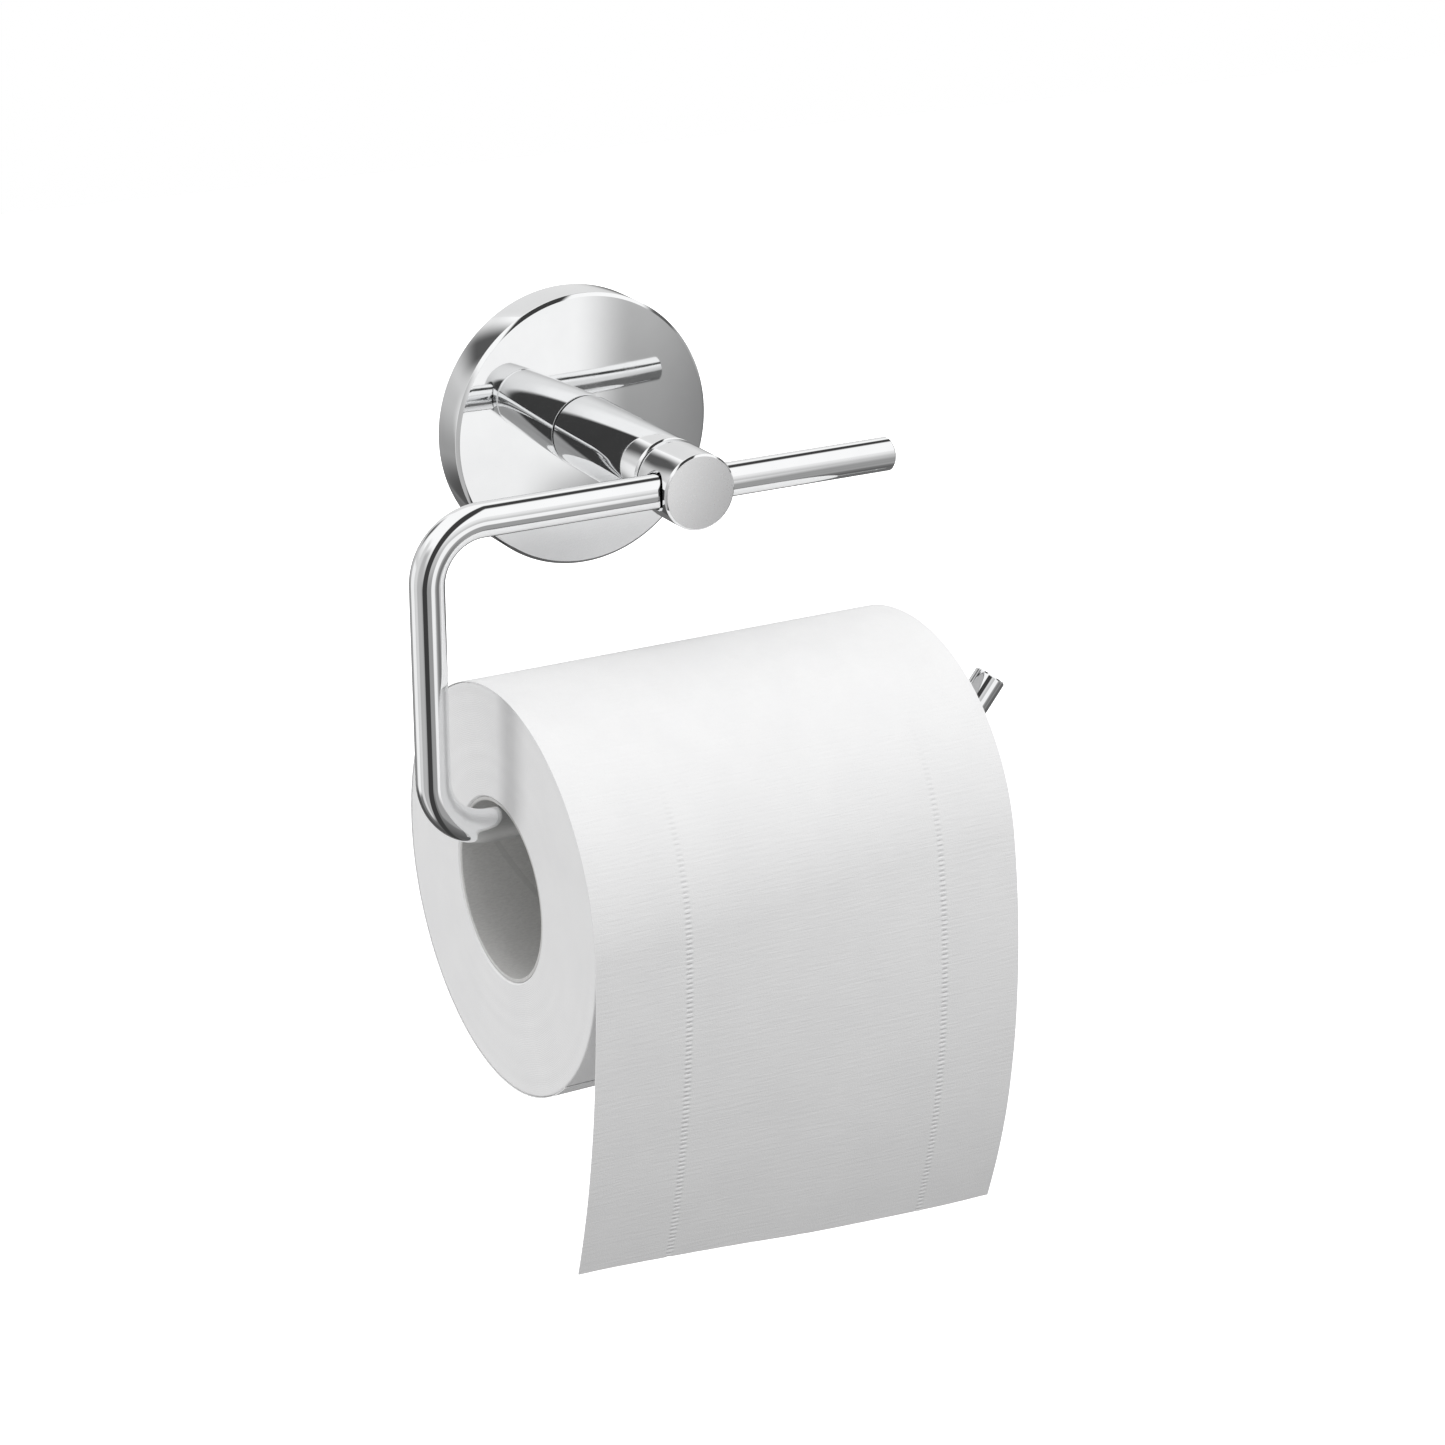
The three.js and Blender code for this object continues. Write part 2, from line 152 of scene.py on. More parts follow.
def rounded(corner_list, steps=5):
    """A profile whose inner corners (a, b, radius) become arcs that touch both neighbouring stretches."""
    points = np.array([corner[:2] for corner in corner_list], float)
    made = []
    for i, (a, b, radius) in enumerate(corner_list):
        if radius == 0:
            made.append([a, b])
            continue
        here = points[i]
        back = points[i - 1] - here
        ahead = points[i + 1] - here
        back /= np.linalg.norm(back)
        ahead /= np.linalg.norm(ahead)
        half = math.acos(np.clip(back @ ahead, -1, 1)) / 2
        centre = here + (back + ahead) / np.linalg.norm(back + ahead) * radius / math.sin(half)
        start = here + back * radius / math.tan(half) - centre
        end = here + ahead * radius / math.tan(half) - centre
        share = np.linspace(0, 1, steps + 1)[:, None]
        swing = math.acos(np.clip(start @ end / radius**2, -1, 1))
        arc = (np.sin((1 - share) * swing) * start + np.sin(share * swing) * end) / math.sin(swing)
        made.extend((centre + arc).tolist())
    return np.array(made)


def turned(name, profile, sides=192, axis="y", centre=(0, 0, 0)):
    """A turned body: the profile's (radius, along) points carried round the axis.

    A profile that starts or ends on the axis closes at a pole there, and any other closes on itself.
    """
    radius, along = np.asarray(profile, float).T
    pole_first, pole_last = radius[0] < 1e-6, radius[-1] < 1e-6
    kept = slice(1 if pole_first else 0, len(radius) - (1 if pole_last else 0))
    angle = np.linspace(0, 2 * np.pi, sides, endpoint=False)
    r, t = np.meshgrid(radius[kept], angle, indexing="ij")
    h = np.broadcast_to(along[kept][:, None], r.shape)
    rows = r.shape[0]
    points = [np.stack([r * np.cos(t), h, r * np.sin(t)], axis=-1).reshape(-1, 3)]
    faces = grid_faces(rows, sides, wrap_rows=not (pole_first or pole_last), wrap_columns=True).tolist()
    ring = np.arange(sides)
    for present, row, height in ((pole_first, 0, along[0]), (pole_last, rows - 1, along[-1])):
        if present:
            pole = sum(len(part) for part in points)
            points.append(np.array([[0, height, 0]]))
            edge = row * sides + ring
            fan = np.stack([np.full(sides, pole), np.roll(edge, -1), edge], axis=-1)
            faces.extend((fan if row == 0 else fan[:, ::-1]).tolist())
    points = np.concatenate(points)
    if axis == "x":
        points = points[:, [1, 0, 2]]
    if axis == "z":
        points = points[:, [0, 2, 1]]
    return piece(name, points + np.array(centre), faces)


def block(name, low, high):
    """A plain box between two corners, used as a cutter."""
    ends = np.array([low, high])
    index = np.indices((2, 2, 2)).reshape(3, -1).T
    points = ends[index, [0, 1, 2]]
    faces = [(0, 1, 3, 2), (4, 6, 7, 5), (0, 4, 5, 1), (2, 3, 7, 6), (0, 2, 6, 4), (1, 5, 7, 3)]
    return piece(name, points, faces)


def combine(body, tool, operation="DIFFERENCE"):
    """The body with the tool cut from it or joined to it. The tool is used up."""
    modifier = body.modifiers.new(operation.lower(), "BOOLEAN")
    modifier.operation = operation
    modifier.solver = "EXACT"
    modifier.object = tool
    shaped = body.evaluated_get(bpy.context.evaluated_depsgraph_get())
    mesh = bpy.data.meshes.new_from_object(shaped)
    body.modifiers.clear()
    body.data = mesh
    bpy.data.objects.remove(tool)
    if not mesh.polygons:
        raise ValueError(f"nothing is left of {body.name}")
    finish_edges(mesh)
    return body


def bar(name, radius, start, end, axis, centre, sides=96):
    """A plain round bar along an axis, from start to end, used as a cutter or a boss."""
    return turned(name, [(0, start), (radius, start), (radius, end), (0, end)], sides, axis, centre)


# ---- Shader nodes ----

# The colour sockets of a Mix node, which has others of the same names for plain numbers.
MIX_FACTOR, MIX_FIRST, MIX_SECOND, MIX_RESULT = 0, 6, 7, 2


def node(tree, kind, inputs=None, **settings):
    """A shader node with its properties set and its inputs filled with numbers or sockets."""
    made = tree.nodes.new(kind)
    for key, value in settings.items():
        setattr(made, key, value)
    for key, value in (inputs or {}).items():
        if isinstance(value, bpy.types.NodeSocket):
            tree.links.new(value, made.inputs[key])
        else:
            made.inputs[key].default_value = value
    return made


def maths(tree, operation, first, second=0.0, clamp=False):
    """The result of one arithmetic step on numbers or sockets."""
    return node(tree, "ShaderNodeMath", {0: first, 1: second}, operation=operation, use_clamp=clamp).outputs[0]


def ramp(tree, value, low, high, to_low=0.0, to_high=1.0):
    """A smooth step of value from low to high."""
    inputs = {"Value": value, "From Min": low, "From Max": high, "To Min": to_low, "To Max": to_high}
    return node(tree, "ShaderNodeMapRange", inputs, interpolation_type="SMOOTHSTEP").outputs[0]


def noise(tree, vector, scale, detail=3.0, roughness=0.55):
    """Smooth random values between 0 and 1, with scale features to the metre."""
    inputs = {"Vector": vector, "Scale": scale, "Detail": detail, "Roughness": roughness}
    return node(tree, "ShaderNodeTexNoise", inputs).outputs[0]


def stretched(tree, vector, scale):
    """Coordinates multiplied axis by axis, so that a pattern on them is drawn out along the low ones."""
    return node(tree, "ShaderNodeMapping", {"Vector": vector, "Scale": scale}).outputs[0]


def tone(tree, factor, dark, light):
    """A colour between dark and light by a factor. Either end is three numbers or a socket."""
    ends = [end if isinstance(end, bpy.types.NodeSocket) else (*end, 1) for end in (dark, light)]
    inputs = {MIX_FACTOR: factor, MIX_FIRST: ends[0], MIX_SECOND: ends[1]}
    return node(tree, "ShaderNodeMix", inputs, data_type="RGBA").outputs[MIX_RESULT]


def bump(tree, height, distance, strength=1.0):
    """The normal of a surface raised by height times distance, in metres."""
    inputs = {"Height": height, "Distance": distance, "Strength": strength}
    return node(tree, "ShaderNodeBump", inputs).outputs[0]


def material(name, metallic=0.0):
    """A new material: its tree, its shader and the Object coordinates."""
    made = bpy.data.materials.new(name)
    made.use_nodes = True
    tree = made.node_tree
    shader = tree.nodes["Principled BSDF"]
    shader.inputs["Metallic"].default_value = metallic
    place = tree.nodes.new("ShaderNodeTexCoord").outputs["Object"]
    return made, tree, shader, place


def wire(tree, shader, **sockets):
    """Links the finish's colour, roughness and normal to its shader."""
    names = {"colour": "Base Color", "roughness": "Roughness", "normal": "Normal"}
    for key, socket in sockets.items():
        tree.links.new(socket, shader.inputs[names[key]])


# ---- Finishes ----

def polished_chrome(name, satin_face=False):
    """Chrome plate: hairline polishing marks, a faint orange peel and, on the head, a satin front."""
    made, tree, shader, place = material(name, 1.0)
    marks = noise(tree, stretched(tree, place, (2600, 260, 2600)), 1.0, 4)
    swirl = noise(tree, place, 140, 2)
    worn = maths(tree, "MULTIPLY", marks, swirl)
    roughness = ramp(tree, worn, 0.1, 0.6, 0.02, 0.07)
    colour = tone(tree, swirl, (0.86, 0.865, 0.87), (0.92, 0.925, 0.93))
    if satin_face:
        depth = node(tree, "ShaderNodeSeparateXYZ", {0: place}).outputs[1]
        face = maths(tree, "LESS_THAN", depth, (head_low[1] + 0.05) * MM)
        grain = ramp(tree, marks, 0.2, 0.8, 0.26, 0.34)
        inputs = {"Value": face, "From Min": 0.0, "From Max": 1.0, "To Min": roughness, "To Max": grain}
        roughness = node(tree, "ShaderNodeMapRange", inputs).outputs[0]
        colour = tone(tree, face, colour, (0.98, 0.98, 0.985))
    peel = noise(tree, place, 420, 2)
    wire(
        tree,
        shader,
        colour=colour,
        roughness=roughness,
        normal=bump(tree, peel, 0.0000012, 0.6),
    )
    return made


def cast_zinc():
    """Zinc casting: a grainy, dull surface with darker pores and slightly shiny raised spots."""
    made, tree, shader, place = material("cast_zinc_finish", 1.0)
    grain = noise(tree, place, 1500, 5, 0.65)
    patches = noise(tree, place, 120, 3)
    wire(
        tree,
        shader,
        colour=tone(tree, patches, (0.42, 0.425, 0.43), (0.62, 0.625, 0.63)),
        roughness=ramp(tree, grain, 0.2, 0.8, 0.6, 0.34),
        normal=bump(tree, grain, 0.00008, 0.7),
    )
    return made


def plated_steel():
    """Zinc-plated steel: turning lines and a faint yellowish cast in patches."""
    made, tree, shader, place = material("plated_steel_finish", 1.0)
    lines = noise(tree, stretched(tree, place, (60, 5200, 60)), 1.0, 3)
    patches = noise(tree, place, 260, 3)
    wire(
        tree,
        shader,
        colour=tone(tree, patches, (0.58, 0.57, 0.55), (0.72, 0.725, 0.73)),
        roughness=ramp(tree, lines, 0.2, 0.8, 0.2, 0.38),
        normal=bump(tree, lines, 0.00002, 0.6),
    )
    return made


def black_steel():
    """Black oxide on hardened steel: near black, oily sheen, lighter where a key has rubbed."""
    made, tree, shader, place = material("black_steel_finish", 1.0)
    grain = noise(tree, place, 2200, 4)
    rubbed = noise(tree, place, 420, 3)
    wire(
        tree,
        shader,
        colour=tone(tree, ramp(tree, rubbed, 0.55, 0.75), (0.022, 0.022, 0.024), (0.12, 0.12, 0.125)),
        roughness=ramp(tree, grain, 0.2, 0.8, 0.3, 0.5),
        normal=bump(tree, grain, 0.00003, 0.5),
    )
    return made


def grey_nylon():
    """Moulded nylon: fine spark-eroded grain, slightly cloudy colour."""
    made, tree, shader, place = material("grey_nylon_finish")
    grain = noise(tree, place, 3200, 4, 0.6)
    cloud = noise(tree, place, 180, 2)
    shader.inputs["Subsurface Weight"].default_value = 0.08
    shader.inputs["Subsurface Radius"].default_value = (0.001, 0.001, 0.001)
    wire(
        tree,
        shader,
        colour=tone(tree, cloud, (0.5, 0.5, 0.49), (0.6, 0.6, 0.585)),
        roughness=ramp(tree, grain, 0.2, 0.8, 0.42, 0.62),
        normal=bump(tree, grain, 0.00003, 0.6),
    )
    return made


def roll_polar(tree, place):
    """Radius, turn (-0.5 to 0.5) and place along the roll's axis, in metres, of a point of the roll."""
    split = node(tree, "ShaderNodeSeparateXYZ", {0: place})
    y = maths(tree, "SUBTRACT", split.outputs[1], ROD_Y * MM)
    z = maths(tree, "SUBTRACT", split.outputs[2], ROLL_Z * MM)
    square = maths(tree, "ADD", maths(tree, "MULTIPLY", y, y), maths(tree, "MULTIPLY", z, z))
    turn = maths(tree, "DIVIDE", maths(tree, "ARCTAN2", z, y), 2 * math.pi)
    return maths(tree, "SQRT", square), turn, split.outputs[0]


def core_board():
    """Grey board wound in a spiral: a seam every 78 mm along the tube, with pulp fibres and specks."""
    made, tree, shader, place = material("core_board_finish")
    radius, turn, along = roll_polar(tree, place)
    winding = maths(tree, "FRACT", maths(tree, "ADD", maths(tree, "DIVIDE", along, 0.078), turn))
    off_seam = maths(tree, "ABSOLUTE", maths(tree, "SUBTRACT", winding, 0.5))
    seam = ramp(tree, off_seam, 0.006, 0.014)
    step = ramp(tree, winding, 0.49, 0.51)
    fibre = noise(tree, stretched(tree, place, (900, 2600, 2600)), 1.0, 5, 0.65)
    speck = ramp(tree, noise(tree, place, 1900, 2), 0.70, 0.76)
    pulp = maths(tree, "SUBTRACT", fibre, maths(tree, "MULTIPLY", speck, 0.25))
    shade = maths(tree, "MULTIPLY", pulp, ramp(tree, seam, 0.0, 1.0, 0.45, 1.0))
    height = maths(tree, "ADD", maths(tree, "MULTIPLY", fibre, 0.12), step)
    wire(
        tree,
        shader,
        colour=tone(tree, shade, (0.50, 0.50, 0.49), (0.76, 0.755, 0.745)),
        roughness=ramp(tree, fibre, 0.2, 0.8, 0.82, 0.96),
        normal=bump(tree, height, 0.00012, 0.8),
    )
    shader.inputs["Specular IOR Level"].default_value = 0.25
    return made


TISSUE_DARK = (0.845, 0.845, 0.85)
TISSUE_LIGHT = (0.935, 0.935, 0.935)
# The tone of the ticks: painted shade in their dents, over the slight darkening of pressed tissue.
TISSUE_TICK_SHADE = (0.66, 0.66, 0.665)


def rolled_tissue():
    """The wound tissue: the edges of its layers as fine rings on the ends, each a little lighter or darker."""
    made, tree, shader, place = material("rolled_tissue_finish")
    radius, turn, along = roll_polar(tree, place)
    spiral = maths(tree, "ADD", maths(tree, "DIVIDE", radius, 0.00042), turn)
    wobble = noise(tree, place, 160, 3)
    layers = maths(tree, "ADD", spiral, maths(tree, "MULTIPLY", wobble, 2.2))
    edge = maths(tree, "SINE", maths(tree, "MULTIPLY", layers, 2 * math.pi))
    bands = noise(tree, stretched(tree, place, (1, 60, 60)), 1.0, 3)
    fibre = noise(tree, place, 2600, 5, 0.7)
    height = maths(tree, "ADD", maths(tree, "MULTIPLY", edge, 0.2), maths(tree, "MULTIPLY", fibre, 0.9))
    mixed = maths(tree, "ADD", maths(tree, "MULTIPLY", edge, 0.06), maths(tree, "MULTIPLY", bands, 0.9))
    wire(
        tree,
        shader,
        colour=tone(tree, mixed, TISSUE_DARK, TISSUE_LIGHT),
        roughness=ramp(tree, fibre, 0.2, 0.8, 0.88, 1.0),
        normal=bump(tree, height, 0.00006, 0.7),
    )
    shader.inputs["Specular IOR Level"].default_value = 0.15
    return made


def loose_tissue():
    """The loose tissue: a fibre mat that is longer along the web, with faint creping across it."""
    made, tree, shader, place = material("loose_tissue_finish")
    flat = tree.nodes.new("ShaderNodeUVMap")
    flat.uv_map = "web"
    web = flat.outputs[0]
    fibre = noise(tree, stretched(tree, web, (2400, 1500, 1)), 1.0, 6, 0.7)
    crepe = noise(tree, stretched(tree, web, (120, 1500, 1)), 1.0, 4, 0.6)
    cloud = noise(tree, stretched(tree, web, (90, 60, 1)), 1.0, 4, 0.6)
    height = maths(tree, "ADD", fibre, maths(tree, "MULTIPLY", crepe, 1.6))
    mixed = maths(tree, "ADD", maths(tree, "MULTIPLY", fibre, 0.3), maths(tree, "MULTIPLY", cloud, 0.7))
    # The ticks are darkened towards this tone: painted shade in their dents, as well as the slight darkening of
    # pressed tissue.
    tick_shade = node(tree, "ShaderNodeAttribute", attribute_name="tick_shade").outputs["Fac"]
    sheet_tone = tone(tree, mixed, TISSUE_DARK, TISSUE_LIGHT)
    tick_shading = maths(tree, "MULTIPLY", tick_shade, 0.8, clamp=True)
    wire(
        tree,
        shader,
        colour=tone(tree, tick_shading, sheet_tone, TISSUE_TICK_SHADE),
        roughness=ramp(tree, fibre, 0.2, 0.8, 0.88, 1.0),
        normal=bump(tree, height, 0.00009, 0.8),
    )
    shader.inputs["Specular IOR Level"].default_value = 0.15
    return made


finishes = {
    "polished_chrome": polished_chrome("polished_chrome_finish"),
    "cast_zinc": cast_zinc(),
    "zinc_plated_steel": plated_steel(),
    "black_steel": black_steel(),
    "grey_nylon": grey_nylon(),
    "core_board": core_board(),
    "tissue": rolled_tissue(),
}


def assign(made, body, slot, nodes, finish=None):
    """Gives a piece the finish for its slot (or the one given), puts it under its body and hides the CAD nodes
    that it stands for.
    """
    made.data.materials.clear()
    made.data.materials.append(finish or finishes[slot])
    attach(made, body)
    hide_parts(*nodes)


# ---- Polished pieces ----

def rose_shell():
    """The rose: a shallow dome y = face + dome (r / edge)^2, a bevel ring and a skirt, open behind."""
    edge_r = ROSE_R - ROSE_BEVEL
    inner_face = ROSE_FACE + ROSE_DOME + ROSE_WALL
    radius = np.linspace(BOLT_HOLE_R, edge_r - 0.1, 60)
    face = np.stack([radius, ROSE_FACE + ROSE_DOME * (radius / edge_r) ** 2], axis=-1)
    rim = rounded(
        [
            (edge_r - 0.1, ROSE_FACE + ROSE_DOME, 0),
            (edge_r, ROSE_FACE + ROSE_DOME, 0.03),
            (ROSE_R, ROSE_FACE + ROSE_DOME + ROSE_BEVEL, 0.25),
            (ROSE_R, ROSE_RIM, 0.25),
            (ROSE_R - ROSE_WALL, ROSE_RIM, 0.25),
            (ROSE_R - ROSE_WALL, inner_face, 0.8),
            (BOLT_HOLE_R, inner_face, 0),
        ]
    )
    shell = turned("rose_shell", np.concatenate([face, rim[1:]]), 256)
    centre = (0, (grub_low[1] + grub_high[1]) / 2, 0)
    boss_top = grub_high[2]
    combine(shell, bar("boss", GRUB_BOSS_R, -(ROSE_R - 1), boss_top, "z", centre), "UNION")
    combine(shell, bar("grub_hole", GRUB_HOLE_R, -(ROSE_R + 1), boss_top + 1, "z", centre))
    return shell


def post_bar():
    """The post: a turned bar with a fine chamfer at the seam and blind holes for its bolt and its stud."""
    rear, front = post_high[1], post_low[1]
    return turned(
        "post_bar",
        rounded(
            [
                (0, front + STUD_HOLE_DEPTH, 0),
                (STUD_HOLE_R, front + STUD_HOLE_DEPTH, 0.2),
                (STUD_HOLE_R, front, 0.1),
                (POST_R - EDGE, front, 0.1),
                (POST_R, front + EDGE, 0.2),
                (POST_R, rear, 0.15),
                (BOLT_HOLE_R, rear, 0.1),
                (BOLT_HOLE_R, rear - BOLT_HOLE_DEPTH, 0.2),
                (0, rear - BOLT_HOLE_DEPTH, 0),
            ]
        ),
        256,
    )


def head_block():
    """The head: a turned block bored for the rod (across), the stud (behind) and the grub screw (below)."""
    front, rear = head_low[1], head_high[1]
    block_made = turned(
        "head_block",
        rounded(
            [
                (0, front, 0),
                (POST_R - EDGE, front, 0.1),
                (POST_R, front + EDGE, 0.25),
                (POST_R, rear - EDGE, 0.25),
                (POST_R - EDGE, rear, 0.1),
                (0, rear, 0),
            ]
        ),
        256,
    )
    combine(block_made, bar("cross_bore", BORE_R, -POST_R - 2, POST_R + 2, "x", (0, ROD_Y, 0), 128))
    for side in (-1, 1):
        near, far = sorted((side * RECESS_FLOOR, side * (POST_R + 2)))
        combine(block_made, bar("recess", RECESS_R, near, far, "x", (0, ROD_Y, 0), 128))
    combine(block_made, bar("stud_hole", STUD_HOLE_R, ROD_Y, rear + 1, "y", (0, 0, 0)))
    combine(block_made, bar("grub_hole", GRUB_HOLE_R, -POST_R - 1, 0, "z", (0, ROD_Y, 0)))
    return block_made


def arc(centre_x, centre_z, radius, start, end, step=math.radians(2)):
    """Stations round an arc: x, z and the direction of travel for an arc walked anticlockwise."""
    angle = np.linspace(start, end, max(int(abs(end - start) / step), 2) + 1)
    x = centre_x + radius * np.cos(angle)
    z = centre_z + radius * np.sin(angle)
    return np.stack([x, z, angle + math.pi / 2], axis=-1)


def bent_rod():
    """The rod: a circle carried along straights and arcs in the plane y = rod, with a chamfer at each end."""
    left = -ROD_LEFT + ROD_BEND
    tangent = TIP_BEND * math.tan(TIP_RISE / 2)
    tip = (TIP_CORNER + TIP_LENGTH * math.cos(TIP_RISE), -ROD_DROP + TIP_LENGTH * math.sin(TIP_RISE))
    stretches = [
        arc(left, -ROD_BEND, ROD_BEND, math.pi / 2, math.pi),
        arc(left, -ROD_DROP + ROD_BEND, ROD_BEND, math.pi, 1.5 * math.pi),
        arc(TIP_CORNER - tangent, -ROD_DROP + TIP_BEND, TIP_BEND, -math.pi / 2, TIP_RISE - math.pi / 2),
    ]
    bends = np.concatenate(stretches)
    start = np.array([ROD_RIGHT, 0, math.pi])
    end = np.array([*tip, TIP_RISE])
    along_start = np.array([-1, 0, 0]) * ROD_CHAMFER
    along_end = np.array([-math.cos(TIP_RISE), -math.sin(TIP_RISE), 0]) * ROD_CHAMFER
    stations = np.concatenate([[start, start + along_start], bends, [end + along_end, end]])
    radius = np.full(len(stations), ROD_R)
    radius[[0, -1]] = ROD_R - ROD_CHAMFER
    sides = 96
    turn = np.linspace(0, 2 * np.pi, sides, endpoint=False)
    x, z, heading = (column[:, None] for column in stations.T)
    reach = radius[:, None] * np.cos(turn)
    points = np.stack(
        [
            x - np.sin(heading) * reach,
            ROD_Y + radius[:, None] * np.sin(turn),
            z + np.cos(heading) * reach,
        ],
        axis=-1,
    ).reshape(-1, 3)
    faces = grid_faces(len(stations), sides, wrap_columns=True).tolist()
    ends = [[ROD_RIGHT, ROD_Y, 0], [tip[0], ROD_Y, tip[1]]]
    first, last = len(points), len(points) + 1
    ring = np.arange(sides)
    far = (len(stations) - 1) * sides + ring
    faces.extend(np.stack([np.full(sides, first), np.roll(ring, -1), ring], axis=-1).tolist())
    faces.extend(np.stack([np.full(sides, last), far, np.roll(far, -1)], axis=-1).tolist())
    return piece("bent_rod", np.concatenate([points, ends]), faces)


assign(rose_shell(), "holder", "polished_chrome", ["rose_cover"])
assign(post_bar(), "holder", "polished_chrome", ["post"])
assign(head_block(), "holder", "polished_chrome", ["head"], polished_chrome("head_chrome_finish", True))
assign(bent_rod(), "holder", "polished_chrome", ["arm_rod"])


# ---- Small fixings ----

def refined(name, edge):
    """A CAD node's shape with its flat facets merged, its edges bevelled and its round faces smooth."""
    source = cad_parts[name]
    mesh = source.data.copy()
    made = bpy.data.objects.new(name + "_finished", mesh)
    bpy.context.scene.collection.objects.link(made)
    merged = made.modifiers.new("weld", "WELD")
    merged.merge_threshold = 0.00001
    flat = made.modifiers.new("flat", "DECIMATE")
    flat.decimate_type = "DISSOLVE"
    flat.angle_limit = math.radians(1)
    broken = made.modifiers.new("edge", "BEVEL")
    broken.width = edge * MM
    broken.segments = 2
    broken.limit_method = "ANGLE"
    broken.angle_limit = math.radians(35)
    shaped = made.evaluated_get(bpy.context.evaluated_depsgraph_get())
    finished = bpy.data.meshes.new_from_object(shaped)
    made.modifiers.clear()
    made.data = finished
    finish_edges(finished, SMALL_SMOOTH_UP_TO)
    return made


small_parts = {
    "wall_bracket": ("cast_zinc", 0.3),
    "wall_screw_left": ("zinc_plated_steel", 0.08),
    "wall_screw_right": ("zinc_plated_steel", 0.08),
    "backing_disc": ("zinc_plated_steel", 0.15),
    "lock_washer": ("zinc_plated_steel", 0.1),
    "post_bolt": ("black_steel", 0.1),
    "post_dowel": ("zinc_plated_steel", 0.15),
    "head_stud": ("zinc_plated_steel", 0.1),
    "rose_grub_screw": ("black_steel", 0.08),
    "arm_grub_screw": ("black_steel", 0.08),
}
for part_name, (part_slot, part_edge) in small_parts.items():
    assign(refined(part_name, part_edge), "holder", part_slot, [part_name])


PLUG_BORE_R = 2.3
RIB_PITCH = 2.0
RIB_DEPTH = 0.45
PLUG_COLLAR = 6.0  # the plug is split beyond this length
SLIT = 0.8


def wall_plug(side):
    """A nylon plug: a sleeve split along its inner length, with ribs.

    The ribs are a saw-tooth: the outside falls by RIB_DEPTH times the share of a pitch gone by.
    """
    low, high = corners("wall_plug_" + side)
    middle = (low[0] + high[0]) / 2
    start, end = low[1], high[1]
    outer, bore = (high[0] - low[0]) / 2, PLUG_BORE_R
    along = np.linspace(start + 2.0, end - 3.0, 96)
    ribs = outer - RIB_DEPTH * ((along - start) % RIB_PITCH) / RIB_PITCH
    outside = np.stack([ribs, along], axis=-1)
    mouth = [(bore, start), (outer, start), (outer, start + 1.2), (outer - 0.5, start + 1.8)]
    nose = [(outer - 0.3, end - 2.6), (bore + 0.2, end), (bore, end)]
    sleeve = turned(side + "_plug", np.concatenate([mouth, outside, nose]), 96, "y", (middle, 0, 0))
    slit_low = (middle - SLIT / 2, start + PLUG_COLLAR, -outer - 1)
    slit_high = (middle + SLIT / 2, end + 1, outer + 1)
    return combine(sleeve, block("slit", slit_low, slit_high))


for plug_side in ("left", "right"):
    assign(wall_plug(plug_side), "holder", "grey_nylon", ["wall_plug_" + plug_side])


# ---- Roll ----

def soft_noise(values, seed, waves=7, low=0.15, high=1.6):
    """A smooth random line: a sum of sines with seeded wave numbers and phases, between about -1 and 1."""
    source = np.random.default_rng(seed)
    numbers = source.uniform(low, high, waves)
    phases = source.uniform(0, 2 * np.pi, waves)
    return np.sin(np.multiply.outer(values, numbers) + phases).sum(axis=-1) / waves


RIGHT_SEED, LEFT_SEED = 3, 4  # the random lines of the roll's two ends


def wound_ring(name, inner, outer, left, right, edge, ripple, sides):
    """A ring along X whose ends wander by ripple times a smooth random line, with rounded outer edges."""
    radius = np.linspace(inner + edge, outer - edge, 90 if ripple else 4)
    corner = np.linspace(0, np.pi / 2, 7)
    rise, run = edge * np.sin(corner), edge * (1 - np.cos(corner))
    edge_radius = outer - edge + rise
    outer_right = np.stack([edge_radius, right - run + ripple * soft_noise(edge_radius, RIGHT_SEED)], axis=-1)
    outer_left = np.stack([edge_radius, left + run + ripple * soft_noise(edge_radius, LEFT_SEED)], axis=-1)
    right_face = np.stack([radius, right + ripple * soft_noise(radius, RIGHT_SEED)], axis=-1)
    left_face = np.stack([radius, left + ripple * soft_noise(radius, LEFT_SEED)], axis=-1)
    bore = np.linspace(left + edge, right - edge, 5)
    outside = np.linspace(right - 2 * edge, left + 2 * edge, 24)
    profile = np.concatenate(
        [
            np.stack([np.full(len(bore), inner), bore], axis=-1),
            right_face,
            outer_right[1:],
            np.stack([np.full(len(outside), outer), outside], axis=-1),
            outer_left[::-1],
            left_face[::-1][1:],
        ]
    )
    return turned(name, profile, sides, "x", (0, ROD_Y, ROLL_Z))


core = wound_ring("cardboard_core", CORE_R - CORE_WALL, CORE_R, core_low[0], core_high[0], 0.2, 0.0, 160)
assign(core, "roll", "core_board", ["roll_core"])

END_INSET = 0.15  # keeps the wandering end faces inside the roll's width
CORE_CLEARANCE = 0.08
wound_ends = (ROLL_LEFT + END_INSET, ROLL_RIGHT - END_INSET)
wound = wound_ring("wound_tissue", CORE_R + CORE_CLEARANCE, ROLL_R, *wound_ends, 0.35, 0.11, 192)
assign(wound, "roll", "tissue", ["paper_roll"])


# ---- Loose end ----

